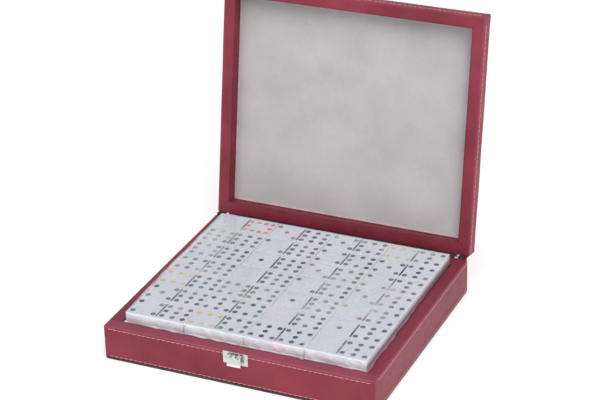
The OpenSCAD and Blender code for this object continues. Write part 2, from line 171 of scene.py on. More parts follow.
# The lower half's cover is burgundy leatherette, a soft plastic skin with a fine grain, 0.6 mm thick.
# It is glued over the outside and the rim, mitred at the corners and turned down inside the case.
MM = 0.001  # the frame is in metres, and every size from here on is in millimetres
LEATHER_T = 0.6
EDGE_R, INNER_EDGE_R, SHARPEST_R = 1.2, 0.8, 0.05
CORNER_STEPS = 8
STATION_STEP = 1.05  # between two points along a side
FINE_STEP, WIDE_STEP, RIM_STEP = 0.3, 1.1, 0.6  # between two rows: at a seam, between seams, on the rim
TURN_IN, TURN_IN_STEP, TURNED_RINGS = 6.0, 1.0, 8  # down the cavity's wall
TOP_SEAM_DROP, LOW_SEAM_RISE = 2.3, 2.6
STITCH_PITCH = 4.2
SEAM_W, SEAM_DEPTH, SEAM_REACH = 0.55, 0.2, 1.8  # the groove that the thread draws in
BEAD_H, BEAD_OFF, BEAD_W, LOW_BEAD_W = 0.14, 1.1, 0.7, 0.6  # the swelling beside it
WAVE_H, WAVE_L, WAVE_TALL, NEXT_SIDE = 0.09, 34, 16, 7  # the glue's unevenness
MITRE_DEPTH, MITRE_W = 0.22, 0.5
WORN_TILT, WORN_W = 0.7, 0.22
SEAM_WEAR, SEAM_WEAR_UP, SEAM_WEAR_W = 0.6, 1.0, 0.6
# Painted light: how much paler the whole rim is painted, and its front more.
RIM_PAINTED_LIGHT, FRONT_RIM_PAINTED_LIGHT = 0.12, 0.6
# Dirt and painted shade darken the skirt's bottom edge up to this height.
SOIL_AND_SHADE_H, SOIL_AND_SHADE_FADE = 2.5, 0.7


def corners_of(points):
    """Lowest and highest corner of an array of points."""
    return points.min(0), points.max(0)


def solid_points(name):
    """A CAD node's own points in millimetres, at rest."""
    flat = np.empty(len(frame["nodes"][name].data.vertices) * 3, np.float32)
    frame["nodes"][name].data.vertices.foreach_get("co", flat)
    return flat.reshape(-1, 3).astype(float) / MM


def ripple(u, v, seed, terms=7):
    """Smooth unevenness between about -1 and 1, the same each run. One unit of u or v is one lump."""
    dice = np.random.RandomState(seed)
    total = np.zeros(np.broadcast(u, v).shape)
    for _ in range(terms):
        turn, size, start = dice.uniform(0, 2 * math.pi), dice.uniform(0.6, 1.6), dice.uniform(0, 2 * math.pi)
        total += np.sin(2 * math.pi * size * (u * math.cos(turn) + v * math.sin(turn)) / 2 + start)
    return total / math.sqrt(terms) / 1.4


def hump(distance, width):
    """One at the middle, falling off smoothly."""
    return np.exp(-((distance / width) ** 2))


def loop(half_x, half_y, radius, count_x, count_y):
    """Points round a rectangle with round corners, and the way out at each of them."""
    points, outward = [], []
    quarter = np.linspace(0, math.pi / 2, CORNER_STEPS)
    signs = [(1, 1), (-1, 1), (-1, -1), (1, -1)]
    for k, (sx, sy) in enumerate(signs):
        turn = quarter + k * math.pi / 2
        out = np.stack([np.cos(turn), np.sin(turn)], 1)
        arc = np.array([sx * (half_x - radius), sy * (half_y - radius)]) + radius * out
        nx, ny = signs[(k + 1) % 4]
        after = np.array([nx * (half_x - radius), ny * (half_y - radius)]) + radius * out[-1]
        count = count_x if k % 2 == 0 else count_y
        share = np.arange(1, count + 1)[:, None] / (count + 1)
        points += [arc, arc[-1] + share * (after - arc[-1])]
        outward += [out, np.repeat(out[-1:], count, 0)]
    return np.concatenate(points), np.concatenate(outward)


def quads(rows, cols, rows_closed=False, cols_closed=False):
    """Faces of a grid of points."""
    down = np.arange(rows if rows_closed else rows - 1)
    across = np.arange(cols if cols_closed else cols - 1)
    r, c = np.meshgrid(down, across, indexing="ij")
    s, d = (r + 1) % rows, (c + 1) % cols
    return np.stack([r * cols + c, r * cols + d, s * cols + d, s * cols + c], -1).reshape(-1, 4).tolist()


def make(name, points, faces, finish, body, stands_for=(), slot=None, sharp=None, paints=None, parts=None):
    """A piece from points in millimetres, with its finish, riding on a body and standing for CAD nodes."""
    mesh = bpy.data.meshes.new(name)
    mesh.from_pydata((np.asarray(points, float) * MM).tolist(), [], faces)
    for label, values in (paints or {}).items():
        paint = mesh.attributes.new(label, "FLOAT", "POINT")
        paint.data.foreach_set("value", np.asarray(values, np.float32).ravel())
    for each in finish if isinstance(finish, list) else [finish]:
        mesh.materials.append(each)
    if parts is not None:
        mesh.polygons.foreach_set("material_index", np.asarray(parts, np.int32))
    form = bmesh.new()
    form.from_mesh(mesh)
    bmesh.ops.remove_doubles(form, verts=form.verts, dist=MM / 500)
    bmesh.ops.recalc_face_normals(form, faces=form.faces)
    form.to_mesh(mesh)
    form.free()
    mesh.shade_smooth()
    if sharp is not None:
        mesh.set_sharp_from_angle(angle=math.radians(sharp))
    made = bpy.data.objects.new(name, mesh)
    bpy.context.scene.collection.objects.link(made)
    if body:
        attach(made, body)
    if stands_for:
        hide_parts(*stands_for)
    return made


def bend(inset, height, radius, start, stop, steps=5):
    """Part of a round edge in a profile, about a centre at that inset and height."""
    turn = np.radians(np.linspace(start, stop, steps))
    return [(inset + radius * math.cos(t), height + radius * math.sin(t)) for t in turn]


def run(a, b, step):
    """Points from a to b along a profile, without a itself."""
    a, b = np.array(a, float), np.array(b, float)
    count = max(1, round(float(np.abs(b - a).max()) / step))
    return [tuple(a + (b - a) * k / count) for k in range(1, count + 1)]


def swept_skin(profile, half_x, half_y, count_x, count_y):
    """Rings of points round the case, one for each (inset, height) of a profile, and the ways out."""
    profile = np.array(profile)
    tangent = np.roll(profile, -1, 0) - np.roll(profile, 1, 0)
    tangent /= np.linalg.norm(tangent, axis=1, keepdims=True)
    rings, ways = [], []
    for (inset, height), (along_inset, along_height) in zip(profile, tangent):
        radius = max(EDGE_R - inset, SHARPEST_R)
        flat, out = loop(half_x - inset, half_y - inset, radius, count_x, count_y)
        rings.append(np.column_stack([flat, np.full(len(flat), height)]))
        ways.append(np.column_stack([out * along_height, np.full(len(flat), along_inset)]))
    return np.array(rings), np.array(ways)


def along_side(points, ways):
    """How far along its side of the case each point lies."""
    across = np.abs(ways[..., 0]) > np.abs(ways[..., 1])
    return np.where(across, points[..., 1], points[..., 0])


def seam_dip(height, place, along):
    """How deep a line of stitching draws the skin in: deepest at the needle holes."""
    pinch = 0.7 + 0.3 * np.cos(2 * math.pi * along / STITCH_PITCH)
    return SEAM_DEPTH * hump(height - place, SEAM_W) * pinch


def skin_wave(rings, ways, seed):
    """How far the glued skin stands off its board, in long shallow waves."""
    around = along_side(rings, ways) / WAVE_L
    upward = rings[..., 2] / WAVE_TALL + (np.abs(ways[..., 0]) > 0.5) * NEXT_SIDE
    return WAVE_H * ripple(around, upward, seed)


def mitre_cut(rings):
    """How deep the skin dips where two strips meet at a corner of the rim."""
    off_mitre = np.abs((case_x - np.abs(rings[..., 0])) - (case_y - np.abs(rings[..., 1])))
    return MITRE_DEPTH * hump(off_mitre, MITRE_W)


def rubbed(ways):
    """One along an edge that hands rub, where the skin turns over."""
    return hump(np.abs(ways[..., 2]) - WORN_TILT, WORN_W)


base_low, base_high = corners_of(solid_points("base_cover"))
case_x, case_y = base_high[0], base_high[1]
rim_z, skirt_z = base_high[2], base_low[2]
rim_w = case_x - corners_of(solid_points("floor_pad"))[1][0]
stations_x, stations_y = round(2 * case_x / STATION_STEP), round(2 * case_y / STATION_STEP)
base_seams = (rim_z - TOP_SEAM_DROP, skirt_z + LOW_SEAM_RISE)

base_profile = bend(EDGE_R, skirt_z + EDGE_R, EDGE_R, -90, -180)
for start, end, step in (
    (skirt_z + EDGE_R, base_seams[1] + SEAM_REACH, FINE_STEP),
    (base_seams[1] + SEAM_REACH, base_seams[0] - SEAM_REACH, WIDE_STEP),
    (base_seams[0] - SEAM_REACH, rim_z - EDGE_R, FINE_STEP),
):
    base_profile += run((0, start), (0, end), step)
base_profile += bend(EDGE_R, rim_z - EDGE_R, EDGE_R, 180, 90)[1:]
base_profile += run((EDGE_R, rim_z), (rim_w - INNER_EDGE_R, rim_z), RIM_STEP)
base_profile += bend(rim_w - INNER_EDGE_R, rim_z - INNER_EDGE_R, INNER_EDGE_R, 90, 0)[1:]
base_profile += run((rim_w, rim_z - INNER_EDGE_R), (rim_w, rim_z - TURN_IN), TURN_IN_STEP)
shown_rings = len(base_profile)
base_profile += [
    (rim_w - LEATHER_T, rim_z - TURN_IN),
    (rim_w - LEATHER_T, rim_z - LEATHER_T),
    (LEATHER_T, rim_z - LEATHER_T),
    (LEATHER_T, skirt_z),
]
rings, ways = swept_skin(base_profile, case_x, case_y, stations_x, stations_y)
along, height = along_side(rings, ways), rings[..., 2]
ring_number = np.arange(len(rings))[:, None]
outside = (np.abs(ways[..., 2]) < 0.5) & (ring_number < shown_rings - TURNED_RINGS)
on_rim = ways[..., 2] > 0.5
lift = skin_wave(rings, ways, 3)
for seam in base_seams:
    lift -= outside * seam_dip(height, seam, along)
beads = hump(height - base_seams[0] - BEAD_OFF, BEAD_W) + hump(height - base_seams[1] + BEAD_OFF, LOW_BEAD_W)
lift += outside * BEAD_H * beads
lift -= on_rim * mitre_cut(rings) * (case_x - np.abs(rings[..., 0]) < rim_w + 1)
# The back lies flat, so that the skins of the two halves don't touch at the hinges.
lift = np.where(ways[..., 1] > 0.5, np.minimum(lift, 0), lift)
lift[shown_rings:] = 0
# Paler: wear along the rubbed top edge and the swelling above the top seam, and painted light over the rim,
# most at the front.
wear_and_painted_light = rubbed(ways) * (height > rim_z - EDGE_R - 0.2)
wear_and_painted_light += SEAM_WEAR * outside * hump(height - base_seams[0] - SEAM_WEAR_UP, SEAM_WEAR_W)
wear_and_painted_light += FRONT_RIM_PAINTED_LIGHT * on_rim * np.clip((rim_w - case_y - rings[..., 1]) / 2, 0, 1) + RIM_PAINTED_LIGHT * on_rim
# Darker with dirt and painted shade along the bottom edge, where the skin turns under.
soil_and_shade = np.clip((SOIL_AND_SHADE_H - height + skirt_z) / SOIL_AND_SHADE_FADE, 0, 1) * (ring_number < shown_rings)
rings += ways * lift[..., None]

MIX_UNDER, MIX_OVER, MIX_RESULT = 6, 7, 2  # the colour sockets of a Mix node


def painted(finish, label):
    """The share painted on the piece's points under that label."""
    return wire(finish, "Attribute", {}, attribute_name=label).outputs["Fac"]


def reckoned(finish, operation, *numbers):
    """What a Math node makes of numbers or of other nodes' sockets."""
    return wire(finish, "Math", dict(enumerate(numbers)), operation=operation).outputs["Value"]


def mixed(finish, share, under, over, **settings):
    """One colour laid over another by a share."""
    wired = {"Factor": share, MIX_UNDER: under, MIX_OVER: over}
    return wire(finish, "Mix", wired, data_type="RGBA", **settings).outputs[MIX_RESULT]


leatherette, shader = new_finish("leatherette")
tone = grain_at(leatherette, 26, 5)
pores = wire(
    leatherette,
    "TexVoronoi",
    {"Vector": wire(leatherette, "TexCoord", {}).outputs["Object"], "Scale": 720.0, "Randomness": 1.0},
    feature="SMOOTH_F1",
).outputs["Distance"]
creases = grain_at(leatherette, 420, 5)
body_colour = blended(leatherette, tone, 0.3, 0.72, (0.194, 0.019, 0.036), (0.276, 0.035, 0.058))
# Paler where the skin is worn, and where the rim is painted with painted light.
worn_and_lit_share = reckoned(leatherette, "MULTIPLY", painted(leatherette, "wear_and_light"), 0.32)
worn_and_lit_colour = mixed(leatherette, worn_and_lit_share, body_colour, (0.50, 0.14, 0.21, 1))
# Darker: dirt and painted shade along the bottom edge, and painted shade along the lid's inner rim edge and
# by the velvet.
skin_colour = mixed(leatherette, painted(leatherette, "soil_and_shade"), worn_and_lit_colour, (0.035, 0.012, 0.017, 1))
lead(leatherette, shader, "Base Color", skin_colour)
lead(leatherette, shader, "Roughness", level(leatherette, creases, 0.38, 0.54))
rough_skin = relief(leatherette, creases, 0.00016)
lead(leatherette, shader, "Normal", relief(leatherette, pores, 0.00028, rough_skin))
shader.inputs["Specular IOR Level"].default_value = 0.24

rows, cols = rings.shape[:2]
make(
    "base_leatherette",
    rings.reshape(-1, 3),
    quads(rows, cols, True, True),
    leatherette,
    "base",
    ["base_cover"],
    "leatherette",
    paints={"wear_and_light": wear_and_painted_light, "soil_and_shade": soil_and_shade},
)

# Two rows of stitching run along each side of the lower half, in thick pale pink thread of two twisted
# strands. Each stitch lies in the groove that it draws in the skin and dives into a needle hole at its ends.
THREAD_R, TWIST_H, TWIST_TURN = 0.27, 0.18, 11
STITCH_L, STITCH_RINGS, STITCH_SIDES = 3.7, 9, 8
STITCH_ARCH, STITCH_SINK, STITCH_TILT = 0.34, 0.2, 0.05
SEAM_END, LAST_STITCH = 3.4, 0.5


def caps(rows, cols):
    """The two end faces of a tube's grid of points."""
    return [list(range(cols)), [(rows - 1) * cols + k for k in range(cols)]]


def joined(pieces):
    """One set of points and faces out of several."""
    points, faces, done = [], [], 0
    for piece_points, piece_faces in pieces:
        faces += [[i + done for i in face] for face in piece_faces]
        points.append(piece_points)
        done += len(piece_points)
    return np.concatenate(points), faces


def one_stitch():
    """A stitch along +X on the plane Z = 0."""
    share = np.linspace(0, 1, STITCH_RINGS)[:, None]
    turn = np.linspace(0, 2 * math.pi, STITCH_SIDES, endpoint=False)[None, :]
    thick = THREAD_R * (1 + TWIST_H * np.cos(2 * turn - TWIST_TURN * share))
    thick = thick * np.where((share == 0) | (share == 1), 0.5, 1)
    x = (share - 0.5) * STITCH_L + 0 * turn
    y = thick * np.cos(turn)
    z = thick * np.sin(turn) + STITCH_ARCH * (1 - (2 * share - 1) ** 4) - STITCH_SINK
    faces = quads(STITCH_RINGS, STITCH_SIDES, False, True) + caps(STITCH_RINGS, STITCH_SIDES)
    return np.stack([x, y, z], -1).reshape(-1, 3), faces


def stitching(heights, half_x, half_y, skips):
    """Rows of stitches round the case at those heights, in the frame of a box that lies flat."""
    form, form_faces = one_stitch()
    stitches = []
    dice = np.random.RandomState(11)
    for height in heights:
        for side in range(4):
            half, reach = (half_y, half_x) if side % 2 == 0 else (half_x, half_y)
            cos, sin = math.cos(side * math.pi / 2), math.sin(side * math.pi / 2)
            count = int((2 * (reach - SEAM_END)) / STITCH_PITCH / 2) * 2 + 1
            for k in range(count):
                place = (k - (count - 1) / 2 + 0.5) * STITCH_PITCH
                skipped = any(s == side and h == height and a < place < b for s, h, a, b in skips)
                if skipped or abs(place) > reach - SEAM_END + LAST_STITCH:
                    continue
                tilt = dice.uniform(-STITCH_TILT, STITCH_TILT)
                x = form[:, 0] * math.cos(tilt) - form[:, 1] * math.sin(tilt) + place
                up = form[:, 0] * math.sin(tilt) + form[:, 1] * math.cos(tilt) + height
                out = form[:, 2] + half
                stitches.append((np.column_stack([x * cos + out * sin, x * sin - out * cos, up]), form_faces))
    return joined(stitches)


thread, shader, _ = mottled("thread", 1800, 3, (0.56, 0.20, 0.22), (0.84, 0.42, 0.43), depth=0.0001)
shader.inputs["Roughness"].default_value = 0.6
shader.inputs["Sheen Weight"].default_value = 0.3
latch_low, latch_high = corners_of(solid_points("latch_plate"))
HIDDEN_STITCH = 0.9  # how far the row runs on behind the latch's plate
base_skips = [(0, base_seams[0], latch_low[0] + HIDDEN_STITCH, latch_high[0] - HIDDEN_STITCH)]
points, faces = stitching(base_seams, case_x, case_y, base_skips)
make("base_stitching", points, faces, thread, "base")

# The cavity is lined with short grey velvet: a strip glued round its walls below the turned-in leatherette,
# and a thin padded sheet on its floor. The stacks hide all but a sliver of it.
velvet, shader = new_finish("velvet")
brushed = grain_at(velvet, 27, 6)
nap = grain_at(velvet, 1500, 4)
velvet_tone = blended(velvet, brushed, 0.3, 0.7, (0.520, 0.496, 0.490), (0.616, 0.578, 0.588))
nap_tone = blended(velvet, nap, 0.25, 0.75, (0.80, 0.79, 0.80), (1.0, 1.0, 1.0))
pile_colour = mixed(velvet, 1.0, velvet_tone, nap_tone, blend_type="MULTIPLY")
# Pale pink along the hems: rubbed nap, with a painted highlight and a painted reflection of the red
# leatherette.
pile_colour = mixed(velvet, painted(velvet, "edge"), pile_colour, (0.98, 0.66, 0.72, 1))
# Darker by the front and sides: painted shade from the recess's walls, with some nap pressed flat.
pressed_and_shaded = painted(velvet, "pressed_and_shaded")
pile_colour = mixed(velvet, pressed_and_shaded, pile_colour, (0.6, 0.6, 0.6, 1), blend_type="MULTIPLY")
lead(velvet, shader, "Base Color", pile_colour)
soft = relief(velvet, brushed, 0.0006)
lead(velvet, shader, "Normal", relief(velvet, nap, 0.00025, soft))
shader.inputs["Roughness"].default_value = 0.9
shader.inputs["Sheen Weight"].default_value = 0.35
shader.inputs["Sheen Roughness"].default_value = 0.5
dress(velvet, "floor_pad", "base_wall_lining")

# Two steel butt hinges, nickel plated, join the halves at the back: the pin is riveted over at both ends.
# The pressed leaves have broken edges, which a narrow bevel on the solids gives.
nickel, shader, scuffs = mottled(
    "nickel", 260, 5, (0.53, 0.56, 0.54), (0.68, 0.69, 0.67), depth=0.00002, stretch=(1, 1, 6)
)
lead(nickel, shader, "Roughness", level(nickel, scuffs, 0.26, 0.42))
shader.inputs["Metallic"].default_value = 1.0
CREASE_ANGLE = 35


def soften(width, *names):
    """Breaks the edges of CAD nodes whose shape is right."""
    for name in names:
        weld = frame["nodes"][name].modifiers.new("weld", "WELD")
        weld.merge_threshold = MM / 100
        edge = frame["nodes"][name].modifiers.new("edge", "BEVEL")
        edge.width = width * MM
        edge.segments = 2
        edge.limit_method = "ANGLE"
        edge.angle_limit = math.radians(CREASE_ANGLE)


hinge_parts = [
    f"{side}_hinge_{part}" for side in ("left", "right") for part in ("base_leaf", "lid_leaf", "pin")
]
dress(nickel, *hinge_parts)
soften(0.12, *hinge_parts)

# Each hinge leaf is held by three small wood screws with domed heads and a cross recess, and the latch and
# its keeper by two small round-headed nails each.
HEAD_RINGS, HEAD_SIDES, HEAD_H = 9, 32, 0.6
CROSS_W, CROSS_REACH, CROSS_DEPTH = 0.22, 0.62, 0.3
SHANK_R, POINT_R, STRAIGHT_SHARE = 0.7, 0.1, 0.8
SCREW_R, SCREW_L = 1.5, 7.0
NAIL_R, NAIL_L = 1.1, 6.0


def fixing(radius, shank_l, cross):
    """A domed head standing on Z = 0 with its shank below, with or without a cross recess."""
    share = np.sin(np.linspace(0.02, math.pi / 2, HEAD_RINGS))[:, None]
    turn = np.linspace(0, 2 * math.pi, HEAD_SIDES, endpoint=False)[None, :]
    x, y = radius * share * np.cos(turn), radius * share * np.sin(turn)
    z = HEAD_H * np.sqrt(np.clip(1.02 - share**2, 0, 1)) + 0 * turn
    if cross:
        arms = (np.minimum(np.abs(x), np.abs(y)) < CROSS_W) & (np.hypot(x, y) < CROSS_REACH * radius)
        z = z - CROSS_DEPTH * arms
    ring = np.stack([np.cos(turn[0]), np.sin(turn[0]), 0 * turn[0]], -1)
    foot = [
        ring * radius,
        ring * SHANK_R,
        ring * SHANK_R + [0, 0, -shank_l * STRAIGHT_SHARE],
        ring * POINT_R + [0, 0, -shank_l],
    ]
    points = np.concatenate([np.stack([x, y, z], -1).reshape(-1, 3), *foot])
    count = HEAD_RINGS + len(foot)
    return points, quads(count, HEAD_SIDES, False, True) + caps(count, HEAD_SIDES)


def many(form, places):
    """Copies of one form, each carried by a 4x4 matrix in millimetres."""
    points, faces = form
    return joined([(points @ place[:3, :3].T + place[:3, 3], faces) for place in places])


def islands(name):
    """The points of each separate solid of a CAD node, in millimetres."""
    form = bmesh.new()
    form.from_mesh(frame["nodes"][name].data)
    bmesh.ops.remove_doubles(form, verts=form.verts, dist=MM / 100)
    left, found = set(form.verts), []
    while left:
        start = left.pop()
        reached, edge = {start}, [start]
        while edge:
            for link in edge.pop().link_edges:
                for other in link.verts:
                    if other in left:
                        left.discard(other)
                        reached.add(other)
                        edge.append(other)
        found.append(np.array([tuple(v.co) for v in reached]) / MM)
    form.free()
    return sorted(found, key=lambda points: tuple(points.mean(0).round(1)))


def fixing_places(name, way):
    """Where a node's fixings stand: way is the direction out of the head."""
    way = np.array(way, float) / np.linalg.norm(way)
    places = []
    dice = np.random.RandomState(5)
    for points in islands(name):
        middle = (points.min(0) + points.max(0)) / 2
        top = (points @ way).max() - HEAD_H
        side = np.array([1.0, 0, 0])
        spin = dice.uniform(0, math.pi)
        arm = side * math.cos(spin) + np.cross(way, side) * math.sin(spin)
        place = np.eye(4)
        place[:3, :3] = np.column_stack([arm, np.cross(way, arm), way])
        place[:3, 3] = middle + way * (top - middle @ way)
        places.append(place)
    return places


lid_joint = next(j for j in frame["joints"] if j["name"] == "lid_hinge")
hinge_at = np.array(lid_joint["pos_m"]) / MM
open_turn = math.radians(lid_joint["range_deg"][0])


def about_pin(points, turn):
    """Points turned about the hinges' pins."""
    cos, sin = math.cos(turn), math.sin(turn)
    y, z = points[..., 1] - hinge_at[1], points[..., 2] - hinge_at[2]
    return np.stack([points[..., 0], hinge_at[1] + y * cos - z * sin, hinge_at[2] + y * sin + z * cos], -1)


def opened(points):
    """Carries points of the shut lid to the open lid, where it stands at rest."""
    return about_pin(points, open_turn)


def shut(points):
    """Carries points of the open lid back to the shut lid."""
    return about_pin(points, -open_turn)


open_back = opened(hinge_at + np.array([0, 1.0, 0])) - hinge_at
screw = fixing(SCREW_R, SCREW_L, True)
nail = fixing(NAIL_R, NAIL_L, False)
for name, body, form, way in (
    ("hinge_base_screws", "base", screw, (0, 1, 0)),
    ("hinge_lid_screws", "lid", screw, open_back),
    ("latch_nails", "base", nail, (0, -1, 0)),
    ("keeper_nails", "lid", nail, -open_back),
):
    points, faces = many(form, fixing_places(name, way))
    make(name + "_made", points, faces, nickel, body, [name], "nickel", sharp=40)

# The lid's cover is the same leatherette, glued over the lid's top, sides and rim, mitred at the corners and
# turned in down the walls of its shallow recess.
LID_SEAM_DROP = 2.3
RECESS_STEP, RECESS_TUCK = 0.8, 0.5
TOP_BORDER, TOP_STEP, TOP_FADE = 16.0, 1.5, 6
# Painted shade along the lid's inner rim edge and down the recess wall by the velvet.
INNER_EDGE_SHADE_W, VELVET_SIDE_SHADE_W = 0.9, 1.2
lid_low, lid_high = corners_of(shut(solid_points("lid_cover")))
panel_low, panel_high = corners_of(shut(solid_points("lid_velvet_panel")))
lid_z, lid_top, recess_top = lid_low[2], lid_high[2], panel_high[2]
lid_seams = (lid_z + LID_SEAM_DROP, lid_top - LID_SEAM_DROP)
lid_profile = run((rim_w, recess_top + RECESS_TUCK), (rim_w, lid_z + INNER_EDGE_R), RECESS_STEP)
lid_profile += bend(rim_w - INNER_EDGE_R, lid_z + INNER_EDGE_R, INNER_EDGE_R, 0, -90)[1:]
lid_profile += run((rim_w - INNER_EDGE_R, lid_z), (EDGE_R, lid_z), RIM_STEP)
lid_profile += bend(EDGE_R, lid_z + EDGE_R, EDGE_R, -90, -180)[1:]
lid_profile += run((0, lid_z + EDGE_R), (0, lid_top - EDGE_R), FINE_STEP)
lid_profile += bend(EDGE_R, lid_top - EDGE_R, EDGE_R, 180, 90)[1:]
lid_profile += run((EDGE_R, lid_top), (TOP_BORDER, lid_top), TOP_STEP)
lid_shown = len(lid_profile)
lid_profile += [
    (TOP_BORDER, lid_top - LEATHER_T),
    (LEATHER_T, lid_top - LEATHER_T),
    (LEATHER_T, lid_z + LEATHER_T),
    (rim_w - LEATHER_T, lid_z + LEATHER_T),
    (rim_w - LEATHER_T, recess_top + RECESS_TUCK),
]
rings, ways = swept_skin(lid_profile, case_x, case_y, stations_x, stations_y)
along, height = along_side(rings, ways), rings[..., 2]
from_rim = height - lid_z
inset = np.minimum(case_x - np.abs(rings[..., 0]), case_y - np.abs(rings[..., 1]))
outside = (np.abs(ways[..., 2]) < 0.5) & (inset < 1)
on_rim = (np.abs(ways[..., 2]) > 0.5) & (from_rim < 0.3)
lift = skin_wave(rings, ways, 17) * np.clip((TOP_BORDER - inset) / TOP_FADE, 0, 1)
for seam in lid_seams:
    lift -= outside * seam_dip(height, seam, along)
beads = hump(height - lid_seams[0] + BEAD_OFF, BEAD_W) + hump(height - lid_seams[1] - BEAD_OFF, BEAD_W)
lift += outside * BEAD_H * beads
lift -= on_rim * mitre_cut(rings)
lift = np.where(ways[..., 1] > 0.5, np.minimum(lift, 0), lift)
lift[lid_shown - 1 :] = 0
lift[0] = 0
lid_wear = rubbed(ways) * (inset < 2) + SEAM_WEAR * outside * hump(from_rim - BEAD_OFF, SEAM_WEAR_W)
# Painted shade darkens the rim's inner edge and the recess wall where it meets the velvet.
from_inner_edge = np.abs(inset - rim_w) + np.abs(from_rim) * 0.7
lid_painted_shade = 0.5 * hump(from_inner_edge, INNER_EDGE_SHADE_W)
lid_painted_shade += 0.3 * hump(height - recess_top, VELVET_SIDE_SHADE_W) * (inset > rim_w - 1)
rings += ways * lift[..., None]
rows, cols = rings.shape[:2]
# One broad face closes the top inside its border, and one more closes the skin's inner side under it.
border = (lid_shown - 1) * cols
faces = quads(rows, cols, False, True)
faces = [face for face in faces if min(face) < border or max(face) >= border + 2 * cols]
faces += [list(range(border, border + cols)), list(range(border + cols, border + 2 * cols))]
end = (rows - 1) * cols
faces += [[k, (k + 1) % cols, end + (k + 1) % cols, end + k] for k in range(cols)]
make(
    "lid_leatherette",
    opened(rings.reshape(-1, 3)),
    faces,
    leatherette,
    "lid",
    ["lid_cover"],
    "leatherette",
    paints={"wear_and_light": lid_wear, "soil_and_shade": lid_painted_shade},
)

# A strip of dark brown book cloth closes the joint between the halves; its dark colour is partly painted
# shade for the gap between them. It is glued under the covers along both back edges, runs round the pins to
# the open lid, and stops short of the riveted pin ends.
CLOTH_T, CLOTH_R, CLOTH_STEP = 0.4, 2.2, 3.0
CLOTH_FROM, CLOTH_TO, CLOTH_ROWS = 170, 41, 14
PIN_GAP, LEAF_OVERLAP = 0.6, 2.4
pin_end = solid_points("right_hinge_pin")[:, 0].max()
arc = np.radians(np.linspace(CLOTH_FROM, CLOTH_TO, CLOTH_ROWS))
lid_corner = opened(np.array([0.0, case_y - 1.0, lid_z + 1.0]))
cloth_line = hinge_at[1:] + CLOTH_R * np.column_stack([np.cos(arc), np.sin(arc)])
cloth_line = np.vstack([cloth_line, lid_corner[1:]])
cloth_way = np.gradient(cloth_line, axis=0)
cloth_way /= np.linalg.norm(cloth_way, axis=1, keepdims=True)
cloth_way = np.stack([-cloth_way[:, 1], cloth_way[:, 0]], 1)
outline = np.concatenate([cloth_line, (cloth_line - cloth_way * CLOTH_T)[::-1]])
strips = []
for start, end in (
    (1 - case_x, -pin_end - PIN_GAP),
    (LEAF_OVERLAP - pin_end, pin_end - LEAF_OVERLAP),
    (pin_end + PIN_GAP, case_x - 1),
):
    count = max(2, round((end - start) / CLOTH_STEP))
    across = np.linspace(start, end, count)[:, None]
    grid = np.stack(np.broadcast_arrays(across, outline[:, 0], outline[:, 1]), -1)
    strips.append((grid.reshape(-1, 3), quads(count, len(outline), False, True) + caps(count, len(outline))))
# Its near-black colour is partly painted shade for the gap between the halves.
joint_cloth_and_shade, shader, _ = mottled(
    "joint_cloth_and_shade", 1400, 3, (0.030, 0.009, 0.012), (0.085, 0.022, 0.030), depth=0.00015
)
shader.inputs["Roughness"].default_value = 0.85
joint_cloth = make("joint_cloth", *joined(strips), joint_cloth_and_shade, None, sharp=50)
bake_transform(joint_cloth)

# The lid's edge has the same two rows of pale stitching on every side, in the same twisted thread.
# At the front both rows stop at the keeper's plate.
keeper_low, keeper_high = corners_of(shut(solid_points("keeper")))
lid_skips = [(0, seam, keeper_low[0] - 1, keeper_high[0] + 1) for seam in lid_seams]
points, faces = stitching(lid_seams, case_x, case_y, lid_skips)
make("lid_stitching", opened(points), faces, thread, "lid")

# The lid's recess holds a panel of grey velvet over thin card, glued to the lid's top board.
# Its edges are turned under, and the nap lies in paler and darker patches.
PANEL_STEP, PANEL_EDGE_R, HEM_W = 2.2, 0.6, 4
HEM_LINES = np.array([0, 0.15, 0.35, 0.6, 0.9, 1.3, 1.8, 2.6])
SAG, SAG_BROAD, SAG_FINE = 0.2, 0.16, 0.04
# Rubbed nap and painted light along the hems:
HEM_RUB_AND_LIGHT, HEM_RUB_AND_LIGHT_W = 0.75, 1.1
# Painted shade from the recess's walls, with pressed nap, by the front, over the front half and down both
# sides:
FRONT_PRESS_AND_SHADE, FRONT_PRESS_AND_SHADE_W = 0.80, 15
FIELD_PRESS_AND_SHADE, FIELD_PRESS_AND_SHADE_L = 0.24, 130
RIGHT_PRESS_AND_SHADE, RIGHT_PRESS_AND_SHADE_W, RIGHT_PRESS_AND_SHADE_L = 0.42, 11, 90
LEFT_PRESS_AND_SHADE, LEFT_PRESS_AND_SHADE_W = 0.35, 4
panel_x, panel_y = panel_high[0], (panel_high[1] - panel_low[1]) / 2
panel_mid = (panel_low + panel_high) / 2


def panel_lines(half):
    """Grid lines across the panel, closer together at its hems."""
    inner = np.linspace(HEM_W - half, half - HEM_W, round(2 * half / PANEL_STEP))
    return np.concatenate([HEM_LINES - half, inner, (half - HEM_LINES)[::-1]])


x, y = np.meshgrid(panel_lines(panel_x), panel_lines(panel_y) + panel_mid[1], indexing="ij")
from_edge = np.minimum(panel_x - np.abs(x), panel_y - np.abs(y - panel_mid[1]))
roll = np.sqrt(np.clip(1 - (1 - np.clip(from_edge / PANEL_EDGE_R, 0, 1)) ** 2, 0, 1))
sag = SAG + SAG_BROAD * ripple(x / 42, y / 42, 23) + SAG_FINE * ripple(x / 9, y / 9, 29)
z = panel_high[2] - (panel_high[2] - panel_low[2]) * (0.35 + 0.65 * roll)
z = z + sag.clip(0) * np.clip(from_edge / 5, 0, 1)
rows, cols = x.shape
face_points = np.stack([x, y, z], -1).reshape(-1, 3)
back_points = np.stack([x, y, np.full_like(x, panel_high[2])], -1).reshape(-1, 3)
border = [k * cols for k in range(rows)] + [(rows - 1) * cols + k for k in range(1, cols)]
border += [k * cols + cols - 1 for k in range(rows - 2, -1, -1)] + list(range(cols - 2, 0, -1))
points = np.concatenate([face_points, back_points[border]])
